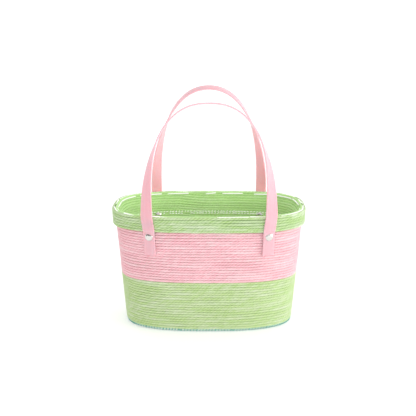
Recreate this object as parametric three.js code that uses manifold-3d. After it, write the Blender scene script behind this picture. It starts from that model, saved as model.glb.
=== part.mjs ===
// A small oval basket of coiled paper cord, with a turned-over cuff and two riveted strap handles.
// Millimetres, +Z up. The origin is the centre of the base, on the surface that the basket stands on.
// +X runs along the basket, and the front is towards -Y.
import * as THREE from "three";
import { mergeVertices } from "three/addons/utils/BufferGeometryUtils.js";
import Module from "manifold-3d";

// ---- driving dimensions ----
const cordSize = 3.5; // thickness of the twisted cord, and so of every wall
const gap = 0.3; // air left between pieces that touch

const baseHalfLength = 112.8;
const baseHalfDepth = 62.5;
const baseSquareness = 2.6; // 2 is an ellipse, and more is squarer
const cuffSeatHalfLength = 122.2; // the wall's outside, level with the cuff's lower edge
const cuffSeatHalfDepth = 76.3;
const rimSquareness = 3.08;
const rimHeight = 157.4;
const cuffHeight = 19.8;
const cuffFlare = 0.05; // how far the wall still leans out behind the cuff, per unit of height
const pinkFrom = 69; // height of the line between the green and the pink band
const pinkTuck = 3.4; // how far the pink band runs up behind the cuff
const liningDepth = 44;
const liningStep = 6; // height over which the lining moves out to meet the cuff
const outlineSteps = 64;
const rungCount = 10; // lines of the walls' mesh between the base and the cuff's lower edge
const bevel = 1.1; // corner taken off the edge of a wall of round cord
const edgeInset = 1.2; // how far the base's edge cord lies in from the wall that stands on it

const threadSize = 0.7;
const rimStitchBelowRim = 3.5;

const strapWidth = 15;
const strapThickness = 1.8;
const strapStandoff = 0.5; // air between a strap and the cord behind it
const tailLength = 25; // below the rivet
const hingeGap = 1; // left on each side of the rim fold, and twice this in all
const rootFoldBelowCuff = 1.2; // the line that a handle folds out about, under the cuff's lower edge
const rootFoldGap = 0.8;
const tabBelowFold = 1; // between the riveted end of a strap and the fold

const rivetHalfSpacing = 74.2;
const rivetBelowCuff = 6.6; // for the front rivets; a handle's rivetDrop is added to it
const capRadius = 5;
const capHeight = 1.6;
const capRim = 0.6; // height of the cap's straight edge below its dome
const domeBulge = [[0.8, 0.75], [0.45, 0.95]]; // shares of a cap's radius and height on the way in
const studCapRadius = 4.6;
const postRadius = 1.5;
const studRadius = 0.7; // the stud's own pin, inside the cap's hollow post
const studPinClearance = 0.15;
const postClearance = 0.3;
const roundSteps = 16;

// rimHalfSpacing is where a handle's straps pass the rim, along X.
const handles = {
  front: {
    side: -1, rivetDrop: 0, rimHalfSpacing: 77, lean: 4,
    straightLeg: 2, rise: 137.3, squareness: 2.4, squareAt: 95,
  },
  back: {
    side: 1, rivetDrop: 7, rimHalfSpacing: 74.8, lean: 16,
    straightLeg: 0.5, rise: 155.6, squareness: 2.16, squareAt: 122,
  },
};

// ---- values that follow from them ----
const cuffBottom = rimHeight - cuffHeight;
const pinkTop = cuffBottom + pinkTuck;
const layer = cordSize + gap;
const rootFoldHeight = cuffBottom - rootFoldBelowCuff;
const rimFoldHeight = rimHeight + 2 * gap;
const rivetHeight = (handle) => cuffBottom - rivetBelowCuff - handle.rivetDrop;

const wasm = await Module();
wasm.setup();

const basket = new THREE.Group();

function material(color, roughness, metalness) {
  return () => new THREE.MeshStandardMaterial({ color, roughness, metalness });
}
const greenCord = material(0xc5dea5, 0.85, 0);
const pinkCord = material(0xf7cad2, 0.85, 0);
const tealCord = material(0xb2dcc0, 0.8, 0);
const whiteThread = material(0xf4f6f0, 0.6, 0);
const pinkStrap = material(0xf8c8d2, 0.75, 0);
const rivetMetal = material(0xc9c6c0, 0.25, 1);

function add(name, geometry, makeMaterial) {
  const mesh = new THREE.Mesh(geometry, makeMaterial());
  mesh.name = name;
  basket.add(mesh);
}

// ---- the oval outline of the wall's outside ----

// Half length, half depth and squareness at a height.
function ovalAt(z) {
  const share = Math.min(z, cuffBottom) / cuffBottom;
  const upright = cuffFlare * Math.max(z - cuffBottom, 0);
  return {
    a: THREE.MathUtils.lerp(baseHalfLength, cuffSeatHalfLength, share) + upright,
    b: THREE.MathUtils.lerp(baseHalfDepth, cuffSeatHalfDepth, share) + upright,
    n: THREE.MathUtils.lerp(baseSquareness, rimSquareness, share),
  };
}

// The point of the oval in one direction from the middle, moved inwards at right angles to it.
function ovalPoint(angle, z, inwards) {
  const { a, b, n } = ovalAt(z);
  const c = Math.cos(angle);
  const s = Math.sin(angle);
  const r = Math.pow(Math.pow(Math.abs(c) / a, n) + Math.pow(Math.abs(s) / b, n), -1 / n);
  const x = r * c;
  const y = r * s;
  const outX = (Math.sign(x) * Math.pow(Math.abs(x) / a, n - 1)) / a;
  const outY = (Math.sign(y) * Math.pow(Math.abs(y) / b, n - 1)) / b;
  const size = Math.hypot(outX, outY);
  return new THREE.Vector3(x - (inwards * outX) / size, y - (inwards * outY) / size, z);
}

// Distance from the long axis to the oval, above a point x of that axis.
function ovalDepth(x, z) {
  const { a, b, n } = ovalAt(z);
  return b * Math.pow(1 - Math.pow(Math.abs(x) / a, n), 1 / n);
}

// How far the oval has turned away from the long axis at x.
function ovalTurn(x, z) {
  const step = 0.5;
  return Math.atan((ovalDepth(x - step, z) - ovalDepth(x + step, z)) / (2 * step));
}

// ---- geometry helpers ----

// Turns the faces of a closed geometry outwards.
function facingOut(geometry) {
  const place = geometry.attributes.position;
  const index = geometry.index.array;
  const [p, q, r] = [new THREE.Vector3(), new THREE.Vector3(), new THREE.Vector3()];
  let volume = 0;
  for (let i = 0; i < index.length; i += 3) {
    p.fromBufferAttribute(place, index[i]);
    q.fromBufferAttribute(place, index[i + 1]);
    r.fromBufferAttribute(place, index[i + 2]);
    volume += p.dot(q.cross(r));
  }
  if (volume < 0) {
    for (let i = 0; i < index.length; i += 3) {
      [index[i], index[i + 1]] = [index[i + 1], index[i]];
    }
  }
  geometry.computeVertexNormals();
  return geometry;
}

// A ring that follows the oval. The section is a closed list of [distance inwards, height].
function ovalRing(section) {
  const nominal = 100;
  const points = section.map(([inwards, z]) => new THREE.Vector2(nominal - inwards, z));
  points.push(points[0].clone());
  const geometry = new THREE.LatheGeometry(points, outlineSteps);
  const place = geometry.attributes.position;
  for (let i = 0; i < place.count; i++) {
    const step = Math.floor(i / points.length) % outlineSteps;
    const [inwards, z] = section[(i % points.length) % section.length];
    const at = ovalPoint((2 * Math.PI * step) / outlineSteps, z, inwards);
    place.setXYZ(i, at.x, at.y, at.z);
  }
  return facingOut(geometry);
}

// The heights between two others at which every wall has a line of its mesh, so that layers stay parallel.
function rungsBetween(bottom, top) {
  const heights = Array.from({ length: rungCount }, (_, i) => (cuffBottom * (i + 1)) / rungCount);
  return heights.filter((z) => z > bottom && z < top);
}

// The section of a wall one cord thick, with its corners taken off.
function wallSection(inwards, bottom, top) {
  const inner = inwards + cordSize;
  const rungs = rungsBetween(bottom + bevel, top - bevel);
  return [
    [inwards + bevel, bottom],
    [inner - bevel, bottom],
    [inner, bottom + bevel],
    ...rungs.map((z) => [inner, z]),
    [inner, top - bevel],
    [inner - bevel, top],
    [inwards + bevel, top],
    [inwards, top - bevel],
    ...rungs.toReversed().map((z) => [inwards, z]),
    [inwards, bottom + bevel],
  ];
}

// The section of a thread lying on a wall.
function threadSection(inwards, z) {
  const half = threadSize / 2;
  return [
    [inwards, z - half],
    [inwards + threadSize, z],
    [inwards, z + half],
  ];
}

function toSolid(geometry) {
  const bare = geometry.clone();
  bare.deleteAttribute("normal");
  bare.deleteAttribute("uv");
  const merged = mergeVertices(bare, 1e-4);
  const vertProperties = new Float32Array(merged.attributes.position.array);
  const triVerts = new Uint32Array(merged.index.array);
  return new wasm.Manifold(new wasm.Mesh({ numProp: 3, vertProperties, triVerts }));
}

function toGeometry(solid) {
  const mesh = solid.getMesh();
  const geometry = new THREE.BufferGeometry();
  geometry.setAttribute("position", new THREE.BufferAttribute(mesh.vertProperties, 3));
  geometry.setIndex(new THREE.BufferAttribute(mesh.triVerts, 1));
  geometry.computeVertexNormals();
  return geometry;
}

function cut(geometry, tools) {
  const solid = tools.reduce((rest, tool) => rest.subtract(toSolid(tool)), toSolid(geometry));
  return toGeometry(solid);
}

// ---- rivets ----

// The frame of one rivet: x across the strap, y up the wall, z straight out of the wall.
function rivetFrame(handle, hand) {
  const x = hand * rivetHalfSpacing;
  const probe = 1;
  const y = (px, pz) => handle.side * ovalDepth(px, pz);
  const z = rivetHeight(handle);
  const at = new THREE.Vector3(x, y(x, z), z);
  const across = new THREE.Vector3(2 * probe, y(x + probe, z) - y(x - probe, z), 0);
  const up = new THREE.Vector3(0, y(x, z + probe) - y(x, z - probe), 2 * probe);
  across.multiplyScalar(-handle.side).normalize();
  const out = new THREE.Vector3().crossVectors(across, up.normalize()).normalize();
  up.crossVectors(out, across);
  return new THREE.Matrix4().makeBasis(across, up, out).setPosition(at);
}

// A turned piece with its axis along z, from a list of [radius, height] that starts and ends on the axis.
function turned(profile) {
  const points = profile.map(([r, h]) => new THREE.Vector2(r, h));
  const geometry = new THREE.LatheGeometry(points, roundSteps);
  geometry.rotateX(Math.PI / 2);
  return facingOut(mergeVertices(geometry.deleteAttribute("normal").deleteAttribute("uv"), 1e-4));
}

const tabInner = strapStandoff;
const tabOuter = tabInner + strapThickness;
const studSeat = -(2 * layer + threadSize + gap); // below the lining and its lining stitches
const capSeat = tabOuter + gap;
const postEnd = studSeat + gap;
const pinRoom = studRadius + studPinClearance;

// The outer cap and its hollow post, which passes through the strap, the wall and the lining.
function rivetCap() {
  return turned([
    [0, capSeat],
    [pinRoom, capSeat],
    [pinRoom, postEnd],
    [postRadius, postEnd],
    [postRadius, capSeat],
    [capRadius, capSeat],
    [capRadius, capSeat + capRim],
    ...domeBulge.map(([reach, height]) => [capRadius * reach, capSeat + capHeight * height]),
    [0, capSeat + capHeight],
  ]);
}

// The inner cap, with the pin that is pressed into the post.
function rivetStud() {
  return turned([
    [0, studSeat - capHeight],
    ...domeBulge.toReversed().map(([reach, height]) => [studCapRadius * reach, studSeat - capHeight * height]),
    [studCapRadius, studSeat - capRim],
    [studCapRadius, studSeat],
    [studRadius, studSeat],
    [studRadius, -gap],
    [0, -gap],
  ]);
}

function postHole(frame) {
  const drill = new THREE.CylinderGeometry(
    postRadius + postClearance, postRadius + postClearance, 30, roundSteps);
  return drill.rotateX(Math.PI / 2).applyMatrix4(frame);
}

// Height at which a handle's posts come out of the lining, where its stitches lie.
function postHeight(handle) {
  const out = new THREE.Vector3().setFromMatrixColumn(rivetFrame(handle, 1), 2);
  return rivetHeight(handle) - out.z * (2 * layer + threadSize / 2);
}

// The lining's two lines of stitches pass just under the front posts and just over the back ones.
const stitchFromPost = postRadius + gap + threadSize / 2;
const liningStitches = {
  upper: postHeight(handles.front) - stitchFromPost,
  lower: postHeight(handles.back) + stitchFromPost,
};

// ---- handles ----

// A strap that follows a route: a box whose length is bent along it, a slice at a time.
// route(t) gives the middle of the strap, and the directions across it and out of its face.
function strapAlong(route, steps) {
  const geometry = new THREE.BoxGeometry(strapWidth, 1, strapThickness, 1, steps, 1);
  const place = geometry.attributes.position;
  for (let i = 0; i < place.count; i++) {
    const { middle, across, out } = route(place.getY(i) + 0.5);
    const at = middle.clone();
    at.addScaledVector(across, place.getX(i));
    at.addScaledVector(out, place.getZ(i));
    place.setXYZ(i, at.x, at.y, at.z);
  }
  return facingOut(geometry);
}

// Middle of the strap where it passes over the cuff.
function overCuff(handle, x, z) {
  const proud = layer + strapStandoff + strapThickness / 2;
  return handle.side * (ovalDepth(x, z) + proud / Math.cos(ovalTurn(x, z)));
}

// The leg, from the fold at the cuff's lower edge up the outside of the cuff to the fold at the rim.
function legRoute(handle, hand) {
  const at = (x, z) => new THREE.Vector3(hand * x, overCuff(handle, x, z), z);
  const foot = at(rivetHalfSpacing, rootFoldHeight + rootFoldGap);
  const top = at(handle.rimHalfSpacing, rimFoldHeight - hingeGap);
  const along = top.clone().sub(foot).normalize();
  return (t) => {
    const middle = foot.clone().lerp(top, t);
    const turn = ovalTurn(Math.abs(middle.x), middle.z);
    const out = new THREE.Vector3(hand * Math.sin(turn), handle.side * Math.cos(turn), 0);
    out.addScaledVector(along, -out.dot(along)).normalize();
    return { middle, across: new THREE.Vector3().crossVectors(along, out), out };
  };
}

// The arch of a handle in its own plane: x across, y up from the rim fold.
class Arch extends THREE.Curve {
  constructor(handle) {
    super();
    this.handle = handle;
  }

  getPoint(t, target = new THREE.Vector3()) {
    const { rimHalfSpacing: half, straightLeg, rise, squareness: n } = this.handle;
    const crown = rise - straightLeg;
    const roughLength = 2 * (straightLeg + crown) + half;
    const legShare = straightLeg / roughLength;
    const toEnd = Math.min(t, 1 - t);
    const hand = t < 0.5 ? -1 : 1;
    if (toEnd < legShare) {
      return target.set(hand * half, (straightLeg * toEnd) / legShare, 0);
    }
    const angle = Math.PI * (1 - (t - legShare) / (1 - 2 * legShare));
    const c = Math.abs(Math.cos(angle)) / half;
    const s = Math.sin(angle) / crown;
    const r = Math.pow(Math.pow(c, n) + Math.pow(s, n), -1 / n);
    return target.set(r * Math.cos(angle), straightLeg + r * Math.sin(angle), 0);
  }
}

// The loop above the rim. Each leg turns its face from outwards to upwards as it rises.
function loopRoute(handle) {
  const arch = new Arch(handle);
  const whole = arch.getLength();
  const start = hingeGap / whole;
  const lean = THREE.MathUtils.degToRad(handle.lean);
  const outOfPlane = new THREE.Vector3(0, handle.side * Math.cos(lean), Math.sin(lean));
  const upPlane = new THREE.Vector3(0, -handle.side * Math.sin(lean), Math.cos(lean));
  const half = handle.rimHalfSpacing;
  const foot = new THREE.Vector3(0, overCuff(handle, half, rimFoldHeight), rimFoldHeight);
  const place = (p) => new THREE.Vector3(p.x, 0, 0).addScaledVector(upPlane, p.y);
  return (t) => {
    const u = THREE.MathUtils.lerp(start, 1 - start, t);
    const flat = arch.getPointAt(u);
    const along = place(arch.getTangentAt(u)).normalize();
    const outward = new THREE.Vector3().crossVectors(along, outOfPlane).multiplyScalar(handle.side);
    const risen = Math.min(1, flat.y / handle.squareAt);
    const turn = THREE.MathUtils.lerp(ovalTurn(half, rimHeight), Math.PI / 2, risen);
    const out = outOfPlane.clone().multiplyScalar(Math.cos(turn));
    out.addScaledVector(outward, Math.sin(turn)).normalize();
    const across = new THREE.Vector3().crossVectors(along, out);
    return { middle: place(flat).add(foot), across, out };
  };
}

// The strap's riveted end: a flat tab on the wall, from the fold down to the end of the tail.
function strapTab(handle, frame) {
  const aboveRivet = rootFoldHeight - tabBelowFold - rivetHeight(handle);
  const tab = new THREE.BoxGeometry(strapWidth, tailLength + aboveRivet, strapThickness);
  tab.translate(0, (aboveRivet - tailLength) / 2, tabInner + strapThickness / 2);
  return cut(tab.applyMatrix4(frame), [postHole(frame)]);
}

// ---- the basket ----

const hands = { left: -1, right: 1 };
const rivets = Object.entries(handles).flatMap(([place, handle]) =>
  Object.entries(hands).map(([handName, hand]) => ({
    place, handle, handName, hand, frame: rivetFrame(handle, hand),
  })));
const postHoles = rivets.map(({ frame }) => postHole(frame));

function baseMat() {
  const inwards = edgeInset + cordSize + gap;
  const rim = Array.from({ length: outlineSteps }, (_, i) => {
    const at = ovalPoint((2 * Math.PI * i) / outlineSteps, cordSize / 2, inwards);
    return new THREE.Vector2(at.x, at.y);
  });
  return new THREE.ExtrudeGeometry(new THREE.Shape(rim), { depth: cordSize, bevelEnabled: false });
}

// The lining stands inside the pink band, then moves out to meet the cuff at the rim.
function liningSection() {
  const bottom = rimHeight - liningDepth;
  const stepFrom = pinkTop + gap;
  const stepTo = stepFrom + liningStep;
  const rungs = rungsBetween(bottom + bevel, stepFrom);
  return [
    [layer + bevel, bottom],
    [layer + cordSize - bevel, bottom],
    [layer + cordSize, bottom + bevel],
    ...rungs.map((z) => [layer + cordSize, z]),
    [layer + cordSize, stepFrom],
    [cordSize, stepTo],
    [cordSize, rimHeight - bevel],
    [cordSize - bevel, rimHeight],
    [bevel, rimHeight],
    [0, rimHeight - bevel],
    [0, stepTo],
    [layer, stepFrom],
    ...rungs.toReversed().map((z) => [layer, z]),
    [layer, bottom + bevel],
  ];
}

add("base_mat", baseMat(), greenCord);
add("base_edge_cord", ovalRing(wallSection(edgeInset, 0, cordSize)), tealCord);
add("lower_wall_coil", ovalRing(wallSection(0, layer, pinkFrom - gap / 2)), greenCord);
add("middle_wall_coil", cut(ovalRing(wallSection(0, pinkFrom + gap / 2, pinkTop)), postHoles), pinkCord);
add("rim_lining", cut(ovalRing(liningSection()), postHoles), greenCord);
add("rim_cuff", ovalRing(wallSection(-layer, cuffBottom, rimHeight)), greenCord);
add("rim_stitching", ovalRing(threadSection(layer, rimHeight - rimStitchBelowRim)), whiteThread);
for (const [name, z] of Object.entries(liningStitches)) {
  add(`lining_stitching_${name}`, ovalRing(threadSection(2 * layer, z)), whiteThread);
}

for (const { place, handle, handName, hand, frame } of rivets) {
  const name = `${place}_${handName}`;
  add(`${name}_strap_tab`, strapTab(handle, frame), pinkStrap);
  add(`${name}_strap_leg`, strapAlong(legRoute(handle, hand), 4), pinkStrap);
  add(`${name}_rivet_cap`, rivetCap().applyMatrix4(frame), rivetMetal);
  add(`${name}_rivet_stud`, rivetStud().applyMatrix4(frame), rivetMetal);
}
for (const [place, handle] of Object.entries(handles)) {
  add(`${place}_handle_loop`, strapAlong(loopRoute(handle), 56), pinkStrap);
}

export default basket;
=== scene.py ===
"""A small oval basket of coiled paper cord in green and pink, with a turned-over cuff and two
riveted strap handles.

Metres, +Z up. The basket stands on z = 0, its length is along X and its front faces -Y.
"""

import math

import bmesh
import bpy
import numpy as np
from mathutils import Matrix, Vector, noise


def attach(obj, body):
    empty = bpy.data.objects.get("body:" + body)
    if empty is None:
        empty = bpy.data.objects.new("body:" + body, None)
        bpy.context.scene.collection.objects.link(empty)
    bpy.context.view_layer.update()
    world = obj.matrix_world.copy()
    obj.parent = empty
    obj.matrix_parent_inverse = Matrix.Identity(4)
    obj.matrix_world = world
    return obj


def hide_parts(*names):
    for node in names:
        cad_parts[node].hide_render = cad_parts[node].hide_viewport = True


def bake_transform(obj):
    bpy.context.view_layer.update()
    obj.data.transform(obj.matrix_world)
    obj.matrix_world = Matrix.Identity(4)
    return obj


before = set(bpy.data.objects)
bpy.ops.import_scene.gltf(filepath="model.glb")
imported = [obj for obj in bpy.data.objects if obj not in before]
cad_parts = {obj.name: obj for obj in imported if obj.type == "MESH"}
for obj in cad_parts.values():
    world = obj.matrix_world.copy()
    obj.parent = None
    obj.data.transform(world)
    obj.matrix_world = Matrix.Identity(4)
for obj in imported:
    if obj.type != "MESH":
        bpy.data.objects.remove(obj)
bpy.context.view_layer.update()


# ---------------------------------------------------------------- the studio
# A white table and backdrop under soft light from all sides. One large soft lamp stands to the right
# and a weaker one behind the camera. The table glows a little, so that almost no shadow falls on it.
# A dark card stands to the left, where only what is polished mirrors it.

scene = bpy.context.scene
scene.view_settings.view_transform = "Standard"
scene.view_settings.look = "None"

camera = bpy.data.objects.new("camera", bpy.data.cameras.new("camera"))
scene.collection.objects.link(camera)
camera.data.lens = 59.95
camera.data.sensor_width = 36
camera.location = (-0.0013, -0.9, 0.3651)
camera.rotation_euler = (math.radians(90 - 13.4), 0, 0)
scene.camera = camera

surroundings = bpy.data.worlds.new("surroundings")
surroundings.use_nodes = True
surroundings.node_tree.nodes["Background"].inputs["Color"].default_value = (1, 1, 1, 1)
surroundings.node_tree.nodes["Background"].inputs["Strength"].default_value = 0.92
scene.world = surroundings


def softbox(name, size, power, place, aim):
    """A square lamp that faces a point."""
    lamp = bpy.data.lights.new(name, "AREA")
    lamp.size = size
    lamp.energy = power
    holder = bpy.data.objects.new(name, lamp)
    holder.location = place
    holder.rotation_euler = (Vector(aim) - Vector(place)).to_track_quat("-Z", "Y").to_euler()
    scene.collection.objects.link(holder)


def studio_sheet(name, half_size, matrix, shade, glow):
    """A flat square sheet of card, which may glow."""
    bm = bmesh.new()
    bmesh.ops.create_grid(bm, x_segments=1, y_segments=1, size=half_size, matrix=matrix)
    sheet = bpy.data.objects.new(name, bpy.data.meshes.new(name))
    bm.to_mesh(sheet.data)
    bm.free()
    scene.collection.objects.link(sheet)
    card = bpy.data.materials.new(name)
    card.use_nodes = True
    shader = card.node_tree.nodes["Principled BSDF"]
    shader.inputs["Base Color"].default_value = (shade, shade, shade, 1)
    shader.inputs["Roughness"].default_value = 0.9
    shader.inputs["Emission Color"].default_value = (1, 1, 1, 1)
    shader.inputs["Emission Strength"].default_value = glow
    sheet.data.materials.append(card)
    return sheet


softbox("key_softbox", size=0.9, power=11.5, place=(1.35, -0.5, 0.4), aim=(0, 0, 0.12))
softbox("front_softbox", size=0.8, power=3.2, place=(-0.35, -1.35, 0.45), aim=(0, 0, 0.16))
stood_up = Matrix.Rotation(math.pi / 2, 4, "X")
backdrop_place = Matrix.Translation((0, 5, 5.9)) @ stood_up
card_place = Matrix.Translation((-0.5, -0.75, 0.36)) @ Matrix.Rotation(math.radians(-30), 4, "Z") @ stood_up
card_shape = Matrix.Diagonal((0.6, 0.36, 1, 1))
studio_sheet("table", half_size=12, matrix=Matrix(), shade=0.8, glow=0.28)
studio_sheet("backdrop", half_size=6, matrix=backdrop_place, shade=0.8, glow=0.6)
card = studio_sheet("dark_card", half_size=1, matrix=card_place @ card_shape, shade=0.02, glow=0)
card.visible_camera = False
card.visible_diffuse = False
card.visible_shadow = False


# ---------------------------------------------------------------- base mat
# The bottom is one length of twisted paper cord, wound flat as an oval spiral from a straight
# start in the middle and stitched turn to turn. Each cord is three strands laid together.

CORD = 0.0035  # thickness of the cord
GAP = 0.0003  # air between layers
LAYER = CORD + GAP
STRANDS = 3
ROUND = 9  # vertices round one cord, three for each strand
LAY = 0.0135  # length in which a strand goes once round the cord
STRAND_DEPTH = 0.15  # how deep the groove between two strands is, as a share of the cord's radius
STEP_TURN = math.radians(31)  # how far the strands turn from one ring of vertices to the next

BASE_HALF_LENGTH = 0.1128
BASE_HALF_DEPTH = 0.0625
EDGE_INSET = 0.0012  # how far the base's edge lies in from the wall that stands on it
BASE_SQUARENESS = 2.6
SEAT_HALF_LENGTH = 0.1222
SEAT_HALF_DEPTH = 0.0763
RIM_SQUARENESS = 3.08
RIM = 0.1574
CUFF_BOTTOM = 0.1376
CUFF_FLARE = 0.05
SEAM_ANGLE = math.radians(124)  # where every row of the walls steps up to the next one, behind
SEAM_SHARE = 0.07  # the share of a turn that the step takes
TWIST_DRIFT = 3  # how far the strands' twist wanders, in radians


def oval_at(z):
    """Half length, half depth and squareness of the wall's outside at a height."""
    share = np.minimum(z, CUFF_BOTTOM) / CUFF_BOTTOM
    flare = CUFF_FLARE * np.maximum(z - CUFF_BOTTOM, 0)
    a = BASE_HALF_LENGTH + (SEAT_HALF_LENGTH - BASE_HALF_LENGTH) * share + flare
    b = BASE_HALF_DEPTH + (SEAT_HALF_DEPTH - BASE_HALF_DEPTH) * share + flare
    return a, b, BASE_SQUARENESS + (RIM_SQUARENESS - BASE_SQUARENESS) * share


def oval_point(angle, z, inwards):
    """Points of the oval, moved inwards, and the directions straight out of it."""
    a, b, n = oval_at(z)
    c, s = np.cos(angle), np.sin(angle)
    r = (np.abs(c / a) ** n + np.abs(s / b) ** n) ** (-1 / n)
    x, y = r * c, r * s
    out_x = np.sign(x) * np.abs(x / a) ** (n - 1) / a
    out_y = np.sign(y) * np.abs(y / b) ** (n - 1) / b
    size = np.hypot(out_x, out_y)
    out = np.stack([out_x / size, out_y / size, 0 * size], -1)
    return np.stack([x, y, z + 0 * x], -1) - out * np.expand_dims(inwards + 0 * x, -1), out


def even_angles(z, inwards, start, steps):
    """Angles round one turn that are evenly spaced along the oval, and its length."""
    fine = np.linspace(start, start + 2 * math.pi, 4001)
    points, _ = oval_point(fine, z, inwards)
    run = np.concatenate([[0], np.cumsum(np.linalg.norm(np.diff(points, axis=0), axis=1))])
    return np.interp(np.linspace(0, run[-1], steps + 1), run, fine), run[-1]


def wander(points, size, seed):
    """Smooth wandering between about -1 and 1 along a row of points."""
    return np.array([noise.noise(Vector(p) / size + Vector((seed, 0, 0))) for p in points.tolist()]) * 2


def smooth_step(share):
    t = np.clip(share, 0, 1)
    return t * t * (3 - 2 * t)


def stepped(run):
    """The row that each point is on, from the turns that it has run: level, then a smooth step up."""
    whole = np.floor(run)
    return whole + smooth_step((run - whole - 1 + SEAM_SHARE) / SEAM_SHARE)


def plain_cord(steps):
    """A length of plain round cord, spun from a ring of vertices, for bending onto its path."""
    bm = bmesh.new()
    bmesh.ops.create_circle(bm, segments=ROUND, radius=CORD / 2)
    bmesh.ops.rotate(bm, verts=bm.verts, matrix=Matrix.Rotation(math.pi / 2, 3, "X"))
    bmesh.ops.translate(bm, verts=bm.verts, vec=(0.1, 0, 0))
    bmesh.ops.spin(bm, geom=bm.verts[:] + bm.edges[:], axis=(0, 0, 1), angle=math.pi, steps=steps)
    bmesh.ops.recalc_face_normals(bm, faces=bm.faces)
    mesh = bpy.data.meshes.new("plain_cord")
    bm.to_mesh(mesh)
    bm.free()
    return mesh


def lay_cord(bm, mesh, middle, out, up, size, start_run, length, seed):
    """Bends a plain cord onto its path and twists its strands, then adds it to the rest of the coil.

    Each vertex keeps where it is on the cord: how far along, and where round the twisting strands."""
    steps = len(middle) - 1
    along = start_run + np.linspace(0, length, steps + 1)
    turn = 2 * math.pi * along / LAY + TWIST_DRIFT * wander(middle * np.array([1, 1, 7]), 0.06, seed)
    spot = 2 * math.pi * np.arange(ROUND) / ROUND
    groove = np.where(np.arange(ROUND) % (ROUND // STRANDS) == 0, 1.0, 0.0)
    radius = size[:, None] * (1 - STRAND_DEPTH * groove[None, :])
    angle = spot[None, :] + turn[:, None]
    place = middle[:, None, :] + out[:, None, :] * (radius * np.cos(angle))[:, :, None]
    place = place + up[:, None, :] * (radius * np.sin(angle))[:, :, None]
    mesh.vertices.foreach_set("co", place.astype(np.float32).ravel())
    lay = np.empty((steps + 1, ROUND, 3))
    lay[:, :, 0] = along[:, None]
    lay[:, :, 1] = CORD / 2 * np.cos(spot)[None, :]
    lay[:, :, 2] = CORD / 2 * np.sin(spot)[None, :]
    # cord_crest is 1 on the strands' crests and 0 in the grooves; the paper shader paints shade into the
    # grooves by it.
    for name, kind, key, values in (
        ("cord_lay", "FLOAT_VECTOR", "vector", lay),
        ("cord_crest", "FLOAT", "value", np.broadcast_to(1 - groove, (steps + 1, ROUND))),
    ):
        layer = mesh.attributes.get(name) or mesh.attributes.new(name, kind, "POINT")
        layer.data.foreach_set(key, np.ascontiguousarray(values, np.float32).ravel())
    bm.from_mesh(mesh)


def finish_coil(name, bm, material, slot, node):
    """Joins the turns end to end, closes the cord's two ends and puts the coil in place of its CAD node."""
    bmesh.ops.remove_doubles(bm, verts=bm.verts, dist=1e-6)
    bmesh.ops.holes_fill(bm, edges=[e for e in bm.edges if e.is_boundary])
    bmesh.ops.recalc_face_normals(bm, faces=bm.faces)
    for face in bm.faces:
        face.smooth = True
    return finish_piece(name, bm, "basket", material, slot, node)


def finish_piece(name, bm, body, material, slot, *nodes):
    """Makes an object of a mesh, with its material, body and the nodes that it stands for. The slot is not
    used.
    """
    piece = bpy.data.objects.new(name, bpy.data.meshes.new(name))
    bm.to_mesh(piece.data)
    bm.free()
    piece.data.materials.append(material)
    scene.collection.objects.link(piece)
    if body:
        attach(piece, body)
    if nodes:
        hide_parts(*nodes)
    return piece


def coil_wall(name, bottom, top, turns, inwards, material, slot, node, seed, tall=1.03, wobble=0.00025):
    """A wall of level turns, each of which steps up to the next over a short stretch behind.

    The turns press flat on each other, so a cord is usually a little taller than it is thick."""
    pitch = (top - bottom) / turns
    halfway = (bottom + top) / 2
    _, length = even_angles(halfway, CORD / 2, 0, 10)
    steps = round(length / LAY * 2 * math.pi / STEP_TURN)
    angles, length = even_angles(halfway, CORD / 2, SEAM_ANGLE, steps)
    lead_steps = round(steps * SEAM_SHARE)
    whole_turn, lead_in = plain_cord(steps), plain_cord(lead_steps)
    bm = bmesh.new()
    for turn in range(-1, turns):
        share = np.linspace(0, 1, steps + 1)
        if turn < 0:
            share = share[steps - lead_steps:]
        run = turn + share
        level = np.clip(stepped(run), 0, turns - 1)
        level[run <= 0] = 0
        z = bottom + pitch * (level + 0.5)
        angle = np.interp(share, np.linspace(0, 1, steps + 1), angles)
        middle, _ = oval_point(angle, z, 0)
        drift = wander(middle * np.array([1, 1, 2.2]), 0.05, seed) + 0.45 * wander(middle, 0.012, seed + 7)
        middle, out = oval_point(angle, z, inwards(z) + wobble * wander(middle, 0.04, seed + 3))
        edge = np.minimum(1, np.minimum(z - bottom, top - z) / (2 * pitch) + 0.2)
        middle[:, 2] += wobble * 1.5 * drift * edge
        fade_in = smooth_step((run + SEAM_SHARE) / SEAM_SHARE)
        fade_out = smooth_step((turns - run) / SEAM_SHARE)
        fade = np.minimum(fade_in, fade_out)
        size = (CORD / 2) * (0.3 + 0.7 * fade) * (1 + 0.035 * wander(middle, 0.02, seed + 11))
        up = np.zeros_like(out)
        up[:, 2] = tall
        lay_cord(bm, lead_in if turn < 0 else whole_turn, middle, out, up, size,
                 (turn + share[0]) * length, (share[-1] - share[0]) * length, seed)
    return finish_coil(name, bm, material, slot, node)


def node_tree(material):
    material.use_nodes = True
    tree = material.node_tree
    return tree, tree.nodes["Principled BSDF"]


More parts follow.
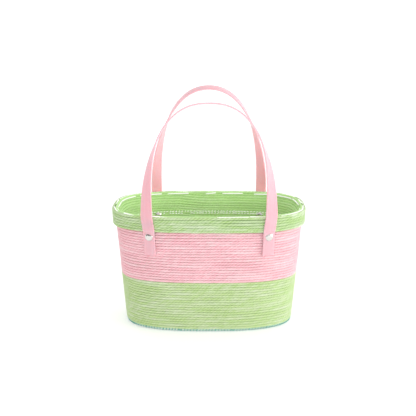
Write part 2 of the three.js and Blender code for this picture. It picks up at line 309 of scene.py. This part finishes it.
def paper_fibres():
    """Shader group for twisted paper: long fibres and creases that run with the strands, painted shade in the
    grooves between strands, and slow pale streaks that are partly uneven tone and partly painted highlight.
    """
    group = bpy.data.node_groups.new("paper_fibres", "ShaderNodeTree")
    for label, kind in (("Crest Color", "NodeSocketColor"), ("Groove Shade Color", "NodeSocketColor"),
                        ("Pale Streak Color", "NodeSocketColor")):
        group.interface.new_socket(label, in_out="INPUT", socket_type=kind)
    for label, kind in (("Color", "NodeSocketColor"), ("Height", "NodeSocketFloat"),
                        ("Roughness", "NodeSocketFloat")):
        group.interface.new_socket(label, in_out="OUTPUT", socket_type=kind)
    nodes, links = group.nodes, group.links
    source, sink = nodes.new("NodeGroupInput"), nodes.new("NodeGroupOutput")
    lay, crest = nodes.new("ShaderNodeAttribute"), nodes.new("ShaderNodeAttribute")
    lay.attribute_name, crest.attribute_name = "cord_lay", "cord_crest"

    def streaks(scale, detail):
        stretch, pattern = nodes.new("ShaderNodeMapping"), nodes.new("ShaderNodeTexNoise")
        stretch.inputs["Scale"].default_value = scale
        pattern.inputs["Scale"].default_value = 1
        pattern.inputs["Detail"].default_value = detail
        links.new(lay.outputs["Vector"], stretch.inputs["Vector"])
        links.new(stretch.outputs["Vector"], pattern.inputs["Vector"])
        return pattern.outputs["Fac"]

    def mixed(kind, factor, a, b):
        mix = nodes.new("ShaderNodeMix")
        mix.data_type = "RGBA"
        mix.blend_type = kind
        for socket, value in zip((mix.inputs[0], mix.inputs[6], mix.inputs[7]), (factor, a, b)):
            if hasattr(value, "is_output"):
                links.new(value, socket)
            else:
                socket.default_value = value
        return mix.outputs[2]

    def ranged(value, low, high, to_low, to_high):
        fit = nodes.new("ShaderNodeMapRange")
        for socket, number in zip(fit.inputs[1:5], (low, high, to_low, to_high)):
            socket.default_value = number
        links.new(value, fit.inputs[0])
        return fit.outputs[0]

    fibres = streaks((90, 2600, 2600), 3)
    creases = streaks((220, 700, 700), 2)
    pale_streaks = streaks((14, 60, 60), 2)
    # The grooves between strands get the darker groove colour: painted shade in the recesses.
    tone = mixed("MIX", ranged(crest.outputs["Fac"], 0, 1, 0, 1), source.outputs["Groove Shade Color"],
                 source.outputs["Crest Color"])
    # Slow pale whitish streaks at random: partly uneven paper tone, partly painted highlight.
    tone = mixed("MIX", ranged(pale_streaks, 0.42, 0.68, 0, 0.75), tone, source.outputs["Pale Streak Color"])
    shade = mixed("MIX", ranged(fibres, 0.35, 0.65, 0, 1), (0.86, 0.87, 0.85, 1), (1.08, 1.08, 1.09, 1))
    tone = mixed("MULTIPLY", 1.0, tone, shade)
    links.new(tone, sink.inputs["Color"])
    total = nodes.new("ShaderNodeMath")
    total.operation = "MULTIPLY_ADD"
    total.inputs[1].default_value = 0.6
    links.new(creases, total.inputs[0])
    links.new(fibres, total.inputs[2])
    links.new(total.outputs[0], sink.inputs["Height"])
    links.new(ranged(fibres, 0.3, 0.7, 0.78, 0.6), sink.inputs["Roughness"])
    return group


PAPER_FIBRES = paper_fibres()


def paper_cord(name, crest, groove, pale_streak):
    """A twisted paper cord in one colour."""
    material = bpy.data.materials.new(name)
    tree, shader = node_tree(material)
    fibres, bump = tree.nodes.new("ShaderNodeGroup"), tree.nodes.new("ShaderNodeBump")
    fibres.node_tree = PAPER_FIBRES
    # The groove colour is painted shade between the strands, and the pale streak colour is partly painted
    # highlight.
    for label, colour in (("Crest Color", crest), ("Groove Shade Color", groove), ("Pale Streak Color", pale_streak)):
        fibres.inputs[label].default_value = (*colour, 1)
    bump.inputs["Strength"].default_value = 0.5
    bump.inputs["Distance"].default_value = 0.00025
    tree.links.new(fibres.outputs["Color"], shader.inputs["Base Color"])
    tree.links.new(fibres.outputs["Roughness"], shader.inputs["Roughness"])
    tree.links.new(fibres.outputs["Height"], bump.inputs["Height"])
    tree.links.new(bump.outputs["Normal"], shader.inputs["Normal"])
    shader.inputs["Sheen Weight"].default_value = 0.12
    shader.inputs["Sheen Roughness"].default_value = 0.5
    shader.inputs["Specular IOR Level"].default_value = 0.35
    return material


green_paper = paper_cord("green_paper_cord", crest=(0.5, 0.63, 0.32), groove=(0.36, 0.53, 0.17),
                         pale_streak=(0.62, 0.69, 0.51))

MAT_TURNS = 15
MAT_INSET = EDGE_INSET + LAYER
MAT_STEP = 0.0016  # length of the mat's cord between two rings of vertices
MAT_PRESS = 1.06  # how far the mat's turns press into each other
SPINE_SHARE = 0.472  # the spiral's straight start, as a share of the mat's length


def coil_mat():
    """The spiral, from its outer turn inwards. Rays run from the straight start to the outline."""
    bm = bmesh.new()
    wound = 0
    _, outer = even_angles(np.float64(CORD / 2), MAT_INSET, 0, 10)
    for turn in range(MAT_TURNS):
        reach = 1 - (turn + 0.5) / MAT_TURNS
        steps = max(60, round(outer * (0.36 + 0.64 * reach) / MAT_STEP))
        angles, _ = even_angles(np.float64(CORD / 2), MAT_INSET, SEAM_ANGLE, steps)
        rim, _ = oval_point(angles, CORD / 2, MAT_INSET)
        spine = rim * np.array([SPINE_SHARE, 0, 1])
        run = turn + np.linspace(0, 1, steps + 1)
        inward = stepped(run)
        inward[-1] = turn + 1
        share = np.clip(1 - (inward + 0.5) / MAT_TURNS, 0.5 / MAT_TURNS, 1)[:, None]
        middle = spine + (rim - spine) * share
        ray = rim - spine
        pitch = np.linalg.norm(ray, axis=1, keepdims=True) / MAT_TURNS
        out = ray / np.linalg.norm(ray, axis=1, keepdims=True) * pitch / CORD * MAT_PRESS
        middle[:, 2] = CORD / 2
        up = np.zeros_like(out)
        up[:, 2] = 1
        size = np.full(steps + 1, CORD / 2)
        if turn == MAT_TURNS - 1:
            size = size * (0.3 + 0.7 * smooth_step(np.linspace(12, 0, steps + 1)))
        length = np.linalg.norm(np.diff(middle, axis=0), axis=1).sum()
        lay_cord(bm, plain_cord(steps), middle, out, up, size, wound, length, 5)
        wound += length
    return finish_coil("coiled_base_mat", bm, green_paper, "green_cord", "base_mat")


coil_mat()


# ---------------------------------------------------------------- base edge
# The bottom turn is a thin mint cord. A teal thread is whipped over it all the way round, and
# holds the mat to the wall.

mint_paper = paper_cord("mint_paper_cord", crest=(0.8, 0.92, 0.82), groove=(0.68, 0.85, 0.72),
                        pale_streak=(0.85, 0.93, 0.86))
EDGE_RADIUS = 0.0011
WHIP_RADIUS = 0.0006
WHIP_SPACING = 0.0034
EDGE_Z = 0.0023
EDGE_PLACE = CORD / 2 + EDGE_INSET


def edge_cord():
    steps = 500
    angles, length = even_angles(np.float64(EDGE_Z), EDGE_PLACE, SEAM_ANGLE, steps)
    middle, out = oval_point(angles, EDGE_Z, EDGE_PLACE)
    up = np.zeros_like(out)
    up[:, 2] = 1
    bm = bmesh.new()
    lay_cord(bm, plain_cord(steps), middle, out, up, np.full(steps + 1, EDGE_RADIUS), 0, length, 9)
    return finish_coil("base_edge_mint_cord", bm, mint_paper, "teal_cord", "base_edge_cord")


def thread_material(name, colour, dark):
    """Tightly spun sewing thread, a little glossy, with fine ply lines in its colour."""
    material = bpy.data.materials.new(name)
    tree, shader = node_tree(material)
    place, pattern = tree.nodes.new("ShaderNodeTexCoord"), tree.nodes.new("ShaderNodeTexNoise")
    ramp, bump = tree.nodes.new("ShaderNodeMix"), tree.nodes.new("ShaderNodeBump")
    pattern.inputs["Scale"].default_value = 1500
    pattern.inputs["Detail"].default_value = 3
    ramp.data_type = "RGBA"
    ramp.inputs[6].default_value = (*dark, 1)
    ramp.inputs[7].default_value = (*colour, 1)
    bump.inputs["Strength"].default_value = 0.3
    bump.inputs["Distance"].default_value = 0.0001
    tree.links.new(place.outputs["Object"], pattern.inputs["Vector"])
    tree.links.new(pattern.outputs["Fac"], ramp.inputs[0])
    tree.links.new(ramp.outputs[2], shader.inputs["Base Color"])
    tree.links.new(pattern.outputs["Fac"], bump.inputs["Height"])
    tree.links.new(bump.outputs["Normal"], shader.inputs["Normal"])
    shader.inputs["Roughness"].default_value = 0.5
    shader.inputs["Sheen Weight"].default_value = 0.2
    return material


teal_thread = thread_material("teal_thread", colour=(0.1, 0.42, 0.34), dark=(0.05, 0.3, 0.24))


def threads(name, runs, radius, material, slot, *nodes, closed=False):
    """Thread laid along one or more runs of points, as round strands that are closed at their ends."""
    curve = bpy.data.curves.new(name, "CURVE")
    curve.dimensions = "3D"
    curve.bevel_depth = radius
    curve.bevel_resolution = 1
    curve.use_fill_caps = True
    for run in runs:
        line = curve.splines.new("POLY")
        line.points.add(len(run) - 1)
        line.points.foreach_set("co", np.hstack([run, np.ones((len(run), 1))]).ravel())
        line.use_cyclic_u = closed
        line.use_smooth = True
    holder = bpy.data.objects.new(name + "_route", curve)
    scene.collection.objects.link(holder)
    mesh = bpy.data.meshes.new_from_object(holder.evaluated_get(bpy.context.evaluated_depsgraph_get()))
    bpy.data.objects.remove(holder)
    bm = bmesh.new()
    bm.from_mesh(mesh)
    bmesh.ops.remove_doubles(bm, verts=bm.verts, dist=1e-7)
    bmesh.ops.recalc_face_normals(bm, faces=bm.faces)
    for face in bm.faces:
        face.smooth = True
    return finish_piece(name, bm, "basket", material, slot, *nodes)


def whip_stitches():
    """One thread that goes round the edge cord over and over. It moves on mostly behind.

    The wraps are uneven: they run ahead by up to one spacing, fall back by one, and start again."""
    _, length = even_angles(np.float64(EDGE_Z), EDGE_PLACE, SEAM_ANGLE, 10)
    wraps, per_wrap = round(length / WHIP_SPACING), 12
    angles, _ = even_angles(np.float64(EDGE_Z), EDGE_PLACE, SEAM_ANGLE, wraps)
    steps = np.arange(wraps * per_wrap)
    around = 2 * math.pi * (steps % per_wrap) / per_wrap
    ahead = 0.15 * steps % per_wrap / per_wrap
    moved = steps // per_wrap + ahead + 0.85 * smooth_step((around / math.pi - 0.55) / 0.9)
    middle, out = oval_point(np.interp(moved, np.arange(wraps + 1), angles), EDGE_Z, EDGE_PLACE)
    reach = EDGE_RADIUS + WHIP_RADIUS * 0.9
    path = middle + out * (reach * np.cos(around))[:, None]
    path[:, 2] += reach * np.sin(around) * 0.99
    threads("base_edge_whip_stitches", [path], WHIP_RADIUS, teal_thread, "teal_cord", closed=True)


edge_cord()
whip_stitches()


# ---------------------------------------------------------------- lower wall
# Nineteen turns of the green cord, stacked on the base edge and joined by hidden stitches.

WALL_SPLIT = 0.069  # height of the line between the green and the pink cord
coil_wall("lower_wall_rows", CORD + 0.0002, WALL_SPLIT, 19, lambda z: CORD / 2, green_paper,
          "green_cord", "lower_wall_coil", seed=21)


# ---------------------------------------------------------------- middle wall
# Twenty turns of the pink cord. The last one runs up behind the cuff.

pink_paper = paper_cord("pink_paper_cord", crest=(0.83, 0.51, 0.55), groove=(0.78, 0.34, 0.4),
                        pale_streak=(0.86, 0.64, 0.66))
PINK_TOP = 0.1398
coil_wall("middle_wall_rows", WALL_SPLIT, PINK_TOP, 20, lambda z: CORD / 2, pink_paper,
          "pink_cord", "middle_wall_coil", seed=41)


# ---------------------------------------------------------------- rim lining
# Thirteen turns of green cord inside the pink band. Above it they move out to meet the cuff,
# and their top turn is half of the rim.

LINING_BOTTOM = RIM - 0.044
STEP_FROM, STEP_TO = 0.1405, 0.1535


def lining_place(z):
    return CORD / 2 + LAYER * (1 - smooth_step((z - STEP_FROM) / (STEP_TO - STEP_FROM)))


# A brighter, greener copy of the green cord for the inside: painted light where the inside lies in shade.
lit_inner_green_paper = paper_cord("inner_green_paper_cord", crest=(0.53, 0.82, 0.33),
                               groove=(0.46, 0.76, 0.25), pale_streak=(0.58, 0.83, 0.41))
coil_wall("rim_lining_rows", LINING_BOTTOM, RIM, 13, lining_place, lit_inner_green_paper,
          "green_cord", "rim_lining", seed=61, tall=1.28)


# ---------------------------------------------------------------- rim cuff
# The cuff is six turns of the same cord outside the wall, turned over from the lining. It is
# looser than the wall, so its turns wave more.

# A copy of the green cord with much darker grooves and paler streaks: deeper painted shade in the grooves and
# painted highlight on the turns.
shaded_cuff_paper = paper_cord("shaded_cuff_green_paper_cord", crest=(0.47, 0.62, 0.3), groove=(0.23, 0.42, 0.09),
                        pale_streak=(0.64, 0.71, 0.55))
coil_wall("rim_cuff_rows", CUFF_BOTTOM, RIM, 6, lambda z: CORD / 2 - LAYER, shaded_cuff_paper,
          "green_cord", "rim_cuff", seed=81, tall=1.02, wobble=0.00042)


# ---------------------------------------------------------------- stitching
# White sewing thread, made to glow faintly as painted light so that it stays white where it lies in shade.
# Long stitches run along the rim's inner edge and between its two halves, and two lines of short ones hold
# the lining to the wall.

white_thread = thread_material("white_thread", colour=(0.96, 0.97, 0.95), dark=(0.88, 0.91, 0.86))
# The thread glows a little: painted light, not a lamp.
white_thread.node_tree.nodes["Principled BSDF"].inputs["Emission Color"].default_value = (1, 1, 1, 1)
white_thread.node_tree.nodes["Principled BSDF"].inputs["Emission Strength"].default_value = 0.2
THREAD = 0.0005
RIM_THREAD = 0.0008
LINING_STITCHES = (("upper", 0.12977, 17), ("lower", 0.12708, 29))  # line, height and seed


def stitch_line(z, inwards, length, pitch, seed, keep, dive=0.0009):
    """Runs of points for separate stitches. Each comes out of the cord, lies on it and goes back in."""
    _, around = even_angles(np.float64(z), inwards, 0, 10)
    count = round(around / pitch)
    starts, _ = even_angles(np.float64(z), inwards, 0, count)
    runs = []
    for i in range(count):
        spot, _ = oval_point(starts[i:i + 1], z, inwards)
        chance = noise.cell(Vector((i * 1.37, seed, 0.5)))
        if noise.noise(Vector(spot[0]) / 0.02 + Vector((seed, 0, 0))) + 0.6 * chance > keep:
            continue
        reach = (starts[i + 1] - starts[i]) * length / pitch * (0.8 + 0.4 * chance)
        share = np.array([0, 0.12, 0.35, 0.65, 0.88, 1])
        angle = starts[i] + reach * share
        sink = dive * np.array([1, 0.3, 0, 0, 0.3, 1])
        lift = 0.0005 * (chance - 0.5) * np.array([-1, -0.8, -0.3, 0.3, 0.8, 1])
        points, _ = oval_point(angle, z + lift, inwards - sink)
        runs.append(points)
    return runs


rim_runs = stitch_line(RIM - 0.0026, CORD + 0.0004, 0.035, 0.039, seed=3, keep=0.9)
rim_runs += stitch_line(RIM - 0.0005, -0.0001, 0.039, 0.041, seed=8, keep=0.75)
threads("rim_long_stitches", rim_runs, RIM_THREAD, white_thread, "white_thread", "rim_stitching")
for line, height, seed in LINING_STITCHES:
    runs = stitch_line(height, LAYER + CORD + 0.0003, 0.0028, 0.0043, seed=seed, keep=0.6)
    threads(f"lining_stitches_{line}", runs, THREAD, white_thread, "white_thread", f"lining_stitching_{line}")


# ---------------------------------------------------------------- straps
# Each handle is one soft pink strap. It is riveted to the wall at both ends, bends out over the
# cuff's lower edge, and turns its face from outwards to upwards on its way over the top.

STRAP_WIDTH = 0.015
STRAP_THICK = 0.0018
STRAP_OFF = 0.0005
RIVET_SPACING = 0.0742
RIM_FOLD = 0.158
TAIL = 0.025
ROUTE_STEP = 0.001
TAB_TOP = 0.1341  # where a strap's flat riveted end stops
LEG_FROM, LEG_TO = 0.1392, 0.1575  # the stretch that lies over the cuff
SPREAD_FROM, SPREAD_OVER = 0.1372, 0.0198  # where a strap starts to move along the rim, and over what height
LOOP_FROM = 0.1475  # height at which a strap's ends join its loop
ARCH_FROM = 0.002  # the arch's first point above the rim's fold
# rivet is a height. reach is where the straps pass the rim along X, rise is the arch's height above
# it, and from flat_at up the face is turned all the way upwards.
HANDLES = {
    "front": dict(side=-1, rivet=0.131, reach=0.077, lean=4, straight=0.002, rise=0.1373, square=2.4,
                  flat_at=0.095),
    "back": dict(side=1, rivet=0.124, reach=0.0748, lean=16, straight=0.0005, rise=0.1556, square=2.16,
                 flat_at=0.122),
}


def oval_depth(x, z):
    a, b, n = oval_at(z)
    return b * (1 - (abs(x) / a) ** n) ** (1 / n)


def oval_turn(x, z):
    step = 0.0005
    return math.atan((oval_depth(x - step, z) - oval_depth(x + step, z)) / (2 * step))


def rivet_frame(handle, hand):
    """The middle of a rivet on the wall's outside, and the directions across, up and out of the wall."""
    side, z = handle["side"], handle["rivet"]
    x, probe = hand * RIVET_SPACING, 0.001
    across = Vector((2 * probe, side * (oval_depth(x + probe, z) - oval_depth(x - probe, z)), 0))
    up = Vector((0, side * (oval_depth(x, z + probe) - oval_depth(x, z - probe)), 2 * probe)).normalized()
    across = (across * -side).normalized()
    out = across.cross(up).normalized()
    return Vector((x, side * oval_depth(x, z), z)), across, out.cross(across), out


def over_cuff(side, x, z):
    proud = LAYER + STRAP_OFF + STRAP_THICK / 2
    return side * (oval_depth(x, z) + proud / math.cos(oval_turn(x, z)))


def half_strap(handle, hand):
    """Middles and face directions of one half of a strap, from the tail's end to the top of the arch."""
    side = handle["side"]
    reach = handle["reach"]
    at, _, up, out = rivet_frame(handle, hand)
    tab = at + out * (STRAP_OFF + STRAP_THICK / 2)
    middles = [tab + up * v for v in np.arange(-TAIL, TAB_TOP - handle["rivet"], ROUTE_STEP)]
    faces = [out] * len(middles)
    for z in np.arange(LEG_FROM, LEG_TO, ROUTE_STEP):
        x = RIVET_SPACING + (reach - RIVET_SPACING) * (z - SPREAD_FROM) / SPREAD_OVER
        turn = oval_turn(x, z)
        middles.append(Vector((hand * x, over_cuff(side, x, z), z)))
        faces.append(Vector((hand * math.sin(turn), side * math.cos(turn), 0)))
    lean = math.radians(handle["lean"])
    plane_out = Vector((0, side * math.cos(lean), math.sin(lean)))
    plane_up = Vector((0, -side * math.sin(lean), math.cos(lean)))
    foot = Vector((0, over_cuff(side, reach, RIM_FOLD), RIM_FOLD))
    crown, n = handle["rise"] - handle["straight"], handle["square"]
    flat = [(reach, h) for h in np.arange(ARCH_FROM, handle["straight"], ROUTE_STEP)]
    for angle in np.linspace(0, math.pi / 2, 160):
        c, s = math.cos(angle) / reach, math.sin(angle) / crown
        r = (abs(c) ** n + abs(s) ** n) ** (-1 / n)
        if handle["straight"] + r * math.sin(angle) > ARCH_FROM:
            flat.append((r * math.cos(angle), handle["straight"] + r * math.sin(angle)))
    start_turn = oval_turn(reach, RIM)
    for i, (x, h) in enumerate(flat):
        ahead, behind = flat[min(i + 1, len(flat) - 1)], flat[max(i - 1, 0)]
        slope = Vector((hand * (ahead[0] - behind[0]), 0, 0)) + plane_up * (ahead[1] - behind[1])
        outward = slope.normalized().cross(plane_out) * (-side * hand)
        turn = start_turn + (math.pi / 2 - start_turn) * min(1, h / handle["flat_at"])
        middles.append(Vector((hand * x, 0, 0)) + plane_up * h + foot)
        faces.append(plane_out * math.cos(turn) + outward * math.sin(turn))
    return np.array(middles), np.array(faces)


def eased(values, spread):
    """Smooths a row of vectors along itself, and keeps its ends."""
    window = int(3 * spread)
    kernel = np.exp(-0.5 * (np.arange(-window, window + 1) / spread) ** 2)
    kernel /= kernel.sum()
    before = 2 * values[0] - values[window:0:-1]
    after = 2 * values[-1] - values[-2:-window - 2:-1]
    padded = np.vstack([before, values, after])
    return np.stack([np.convolve(padded[:, k], kernel, mode="valid") for k in range(3)], 1)


def strap_route(handle):
    """The whole strap at even steps: middles, directions across and out of the face, and its length."""
    left, left_face = half_strap(handle, -1)
    right, right_face = half_strap(handle, 1)
    middles = np.vstack([left, right[-2::-1]])
    faces = np.vstack([left_face, right_face[-2::-1]])
    run = np.concatenate([[0], np.cumsum(np.linalg.norm(np.diff(middles, axis=0), axis=1))])
    even = np.linspace(0, run[-1], round(run[-1] / ROUTE_STEP) + 1)
    middles = eased(np.stack([np.interp(even, run, middles[:, k]) for k in range(3)], 1), 1.8)
    faces = eased(np.stack([np.interp(even, run, faces[:, k]) for k in range(3)], 1), 3.0)
    along = np.gradient(middles, axis=0)
    along /= np.linalg.norm(along, axis=1, keepdims=True)
    faces -= along * (faces * along).sum(1, keepdims=True)
    faces /= np.linalg.norm(faces, axis=1, keepdims=True)
    return middles, np.cross(along, faces), faces, even


def strap_material():
    """Soft pressed felt-like strap: fine nap, faint bands along it, slow mottling, and a backing painted
    paler as painted light, since its inner faces lie in shade.
    """
    material = bpy.data.materials.new("soft_pink_strap")
    tree, shader = node_tree(material)
    uv = tree.nodes.new("ShaderNodeUVMap")
    uv.uv_map = "strap"

    def pattern(scale, detail):
        stretch, noise_map = tree.nodes.new("ShaderNodeMapping"), tree.nodes.new("ShaderNodeTexNoise")
        stretch.inputs["Scale"].default_value = scale
        noise_map.inputs["Scale"].default_value = 1
        noise_map.inputs["Detail"].default_value = detail
        tree.links.new(uv.outputs["UV"], stretch.inputs["Vector"])
        tree.links.new(stretch.outputs["Vector"], noise_map.inputs["Vector"])
        return noise_map.outputs["Fac"]

    def blend_colour(factor, a, b):
        mix = tree.nodes.new("ShaderNodeMix")
        mix.data_type = "RGBA"
        tree.links.new(factor, mix.inputs[0])
        for socket, value in ((mix.inputs[6], a), (mix.inputs[7], b)):
            if hasattr(value, "is_output"):
                tree.links.new(value, socket)
            else:
                socket.default_value = (*value, 1)
        return mix.outputs[2]

    def sharpened(value, low, high):
        fit = tree.nodes.new("ShaderNodeMapRange")
        fit.inputs[1].default_value = low
        fit.inputs[2].default_value = high
        tree.links.new(value, fit.inputs[0])
        return fit.outputs[0]

    bands = pattern((420, 3, 1), 1)
    nap = pattern((5200, 2600, 1), 3)
    mottle = pattern((90, 45, 1), 2)
    tone = blend_colour(sharpened(bands, 0.4, 0.62), (0.7, 0.39, 0.44), (0.74, 0.45, 0.5))
    tone = blend_colour(sharpened(mottle, 0.3, 0.75), tone, (0.74, 0.44, 0.48))
    fuzz = blend_colour(sharpened(nap, 0.3, 0.7), (0.67, 0.36, 0.41), (0.78, 0.49, 0.53))
    mix = tree.nodes.new("ShaderNodeMix")
    mix.data_type = "RGBA"
    mix.inputs[0].default_value = 0.35
    tree.links.new(tone, mix.inputs[6])
    tree.links.new(fuzz, mix.inputs[7])
    split = tree.nodes.new("ShaderNodeSeparateXYZ")
    tree.links.new(uv.outputs["UV"], split.inputs[0])
    # The back face gets a paler, brighter pink: painted light for the inner faces that lie in the basket's
    # shade.
    painted_light_backing = blend_colour(sharpened(nap, 0.3, 0.7), (0.84, 0.47, 0.52), (0.9, 0.54, 0.59))
    whole = blend_colour(sharpened(split.outputs[0], 0.0145, 0.0155), mix.outputs[2], painted_light_backing)
    tree.links.new(whole, shader.inputs["Base Color"])
    bump = tree.nodes.new("ShaderNodeBump")
    bump.inputs["Strength"].default_value = 0.35
    bump.inputs["Distance"].default_value = 0.00012
    height = tree.nodes.new("ShaderNodeMath")
    height.operation = "MULTIPLY_ADD"
    height.inputs[1].default_value = 1.6
    tree.links.new(bands, height.inputs[0])
    tree.links.new(nap, height.inputs[2])
    tree.links.new(height.outputs[0], bump.inputs["Height"])
    tree.links.new(bump.outputs["Normal"], shader.inputs["Normal"])
    shader.inputs["Roughness"].default_value = 0.72
    shader.inputs["Sheen Weight"].default_value = 0.3
    shader.inputs["Sheen Roughness"].default_value = 0.4
    shader.inputs["Specular IOR Level"].default_value = 0.3
    shader.inputs["Subsurface Weight"].default_value = 0.6
    shader.inputs["Subsurface Radius"].default_value = (1, 0.45, 0.45)
    shader.inputs["Subsurface Scale"].default_value = 0.004
    return material


pink_strap = strap_material()
ACROSS = 8  # faces across the strap
EDGE_BEVEL = 0.0005
STRAP_CROWN = 0.00018  # how far the middle of the face swells
BACKING_SHIFT = 0.03  # how far the backing lies beside the face in the strap's UV map


def strap_piece(name, route, first, last, *nodes):
    """One stretch of a strap: a flat bar with rounded edges, cut to length and bent along the route."""
    middles, across, faces, even = route
    steps = last - first
    bm = bmesh.new()
    bmesh.ops.create_cube(bm, size=1)
    bmesh.ops.scale(bm, verts=bm.verts, vec=(STRAP_WIDTH, 1, STRAP_THICK))
    long_edges = [e for e in bm.edges if abs(e.verts[0].co.y - e.verts[1].co.y) > 0.5]
    bmesh.ops.bevel(bm, geom=long_edges, offset=EDGE_BEVEL, offset_type="OFFSET", segments=2,
                    profile=0.5, affect="EDGES", material=-1)
    wide = STRAP_WIDTH - 2 * EDGE_BEVEL
    for k in range(1, ACROSS):
        x = wide * (k / ACROSS - 0.5)
        everything = bm.verts[:] + bm.edges[:] + bm.faces[:]
        bmesh.ops.bisect_plane(bm, geom=everything, plane_co=(x, 0, 0), plane_no=(1, 0, 0))
    long_edges = [e for e in bm.edges if abs(e.verts[0].co.y - e.verts[1].co.y) > 0.5]
    bmesh.ops.subdivide_edges(bm, edges=long_edges, cuts=steps - 1, use_grid_fill=True)
    chart = bm.loops.layers.uv.new("strap")
    for face in bm.faces:
        for loop in face.loops:
            spot = loop.vert.co
            run = even[first] + (spot.y + 0.5) * (even[last] - even[first])
            loop[chart].uv = (spot.x + (BACKING_SHIFT if spot.z < 0 else 0), run)
    for vert in bm.verts:
        x, y, z = vert.co
        index = first + round((y + 0.5) * steps)
        index = min(max(index, first), last)
        crown = STRAP_CROWN * (1 - (2 * x / STRAP_WIDTH) ** 2) * (1 if z > 0 else -0.3)
        vert.co = Vector(middles[index] + across[index] * x + faces[index] * (z + crown))
    bmesh.ops.recalc_face_normals(bm, faces=bm.faces)
    for face in bm.faces:
        face.smooth = True
    for edge in bm.edges:
        edge.smooth = len(edge.link_faces) == 2 and edge.calc_face_angle(0) < math.radians(50)
    return finish_piece(name, bm, None, pink_strap, "pink_strap", *nodes)


for place, handle in HANDLES.items():
    route = strap_route(handle)
    heights = route[0][:, 2]
    split = int(np.argmax(heights > LOOP_FROM))
    last = len(heights) - 1
    for hand, first, end in (("left", 0, split), ("right", last - split, last)):
        root = strap_piece(f"{place}_{hand}_strap_end", route, first, end,
                           f"{place}_{hand}_strap_tab", f"{place}_{hand}_strap_leg")
        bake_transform(root)
    loop = strap_piece(f"{place}_strap_loop", route, split, last - split, f"{place}_handle_loop")
    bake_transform(loop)


# ---------------------------------------------------------------- rivets
# Nickel-plated double-cap rivets. A domed cap lies on the strap, and a smaller one inside the
# basket is pressed onto its post.

CAP_RADIUS = 0.005
STUD_RADIUS = 0.0046
CAP_RISE = 0.0016
POST_RADIUS = 0.0015
CAP_GAP, STUD_GAP = 0.0001, 0.0002  # air under the outer and the inner cap
CAP_POST_END, STUD_POST_END = -0.002, 0.0025
SPUN = 48


def nickel():
    """Bright nickel plating with fine rubbing marks."""
    material = bpy.data.materials.new("nickel")
    tree, shader = node_tree(material)
    place, marks = tree.nodes.new("ShaderNodeTexCoord"), tree.nodes.new("ShaderNodeTexNoise")
    rough, tone = tree.nodes.new("ShaderNodeMapRange"), tree.nodes.new("ShaderNodeMix")
    marks.inputs["Scale"].default_value = 900
    marks.inputs["Detail"].default_value = 4
    rough.inputs[3].default_value = 0.1
    rough.inputs[4].default_value = 0.3
    tone.data_type = "RGBA"
    tone.inputs[6].default_value = (0.62, 0.6, 0.57, 1)
    tone.inputs[7].default_value = (0.78, 0.76, 0.73, 1)
    tree.links.new(place.outputs["Object"], marks.inputs["Vector"])
    tree.links.new(marks.outputs["Fac"], rough.inputs[0])
    tree.links.new(marks.outputs["Fac"], tone.inputs[0])
    tree.links.new(rough.outputs[0], shader.inputs["Roughness"])
    tree.links.new(tone.outputs[2], shader.inputs["Base Color"])
    shader.inputs["Metallic"].default_value = 1
    return material


nickel_plate = nickel()


def spun_cap(name, profile, at, across, up, out, node):
    """A cap spun from half of its section, whose points are (radius, height) from the axis out and back."""
    bm = bmesh.new()
    points = [bm.verts.new((r, 0, h)) for r, h in profile]
    edges = [bm.edges.new(pair) for pair in zip(points, points[1:])]
    bmesh.ops.spin(bm, geom=points + edges, axis=(0, 0, 1), angle=2 * math.pi, steps=SPUN, use_merge=True)
    bmesh.ops.remove_doubles(bm, verts=bm.verts, dist=1e-6)
    bmesh.ops.recalc_face_normals(bm, faces=bm.faces)
    for face in bm.faces:
        face.smooth = True
    for edge in bm.edges:
        edge.smooth = edge.calc_face_angle(0) < math.radians(40)
    turn = Matrix((across, up, out)).transposed().to_4x4()
    turn.translation = at
    bmesh.ops.transform(bm, matrix=turn, verts=bm.verts)
    return finish_piece(name, bm, "basket", nickel_plate, "rivet_metal", node)


def cap_profile(radius, seat, rise, post_end):
    """A dome with a rolled edge, closed behind, on a post."""
    dome = [(0, seat + rise), (radius * 0.3, seat + rise * 0.97), (radius * 0.55, seat + rise * 0.87),
            (radius * 0.76, seat + rise * 0.68), (radius * 0.9, seat + rise * 0.45)]
    roll = [(radius * 0.975, seat + rise * 0.3), (radius, seat + rise * 0.16),
            (radius * 0.985, seat + rise * 0.04), (radius * 0.93, seat)]
    return dome + roll + [(POST_RADIUS, seat), (POST_RADIUS, post_end), (0, post_end)]


for place, handle in HANDLES.items():
    for hand_name, hand in (("left", -1), ("right", 1)):
        at, across, up, out = rivet_frame(handle, hand)
        seat = STRAP_OFF + STRAP_THICK + CAP_GAP
        spun_cap(f"{place}_{hand_name}_cap", cap_profile(CAP_RADIUS, seat, CAP_RISE, CAP_POST_END),
                 at, across, up, out, f"{place}_{hand_name}_rivet_cap")
        inner_seat = 2 * LAYER + STUD_GAP
        spun_cap(f"{place}_{hand_name}_stud", cap_profile(STUD_RADIUS, inner_seat, CAP_RISE, STUD_POST_END),
                 at, across, -up, -out, f"{place}_{hand_name}_rivet_stud")
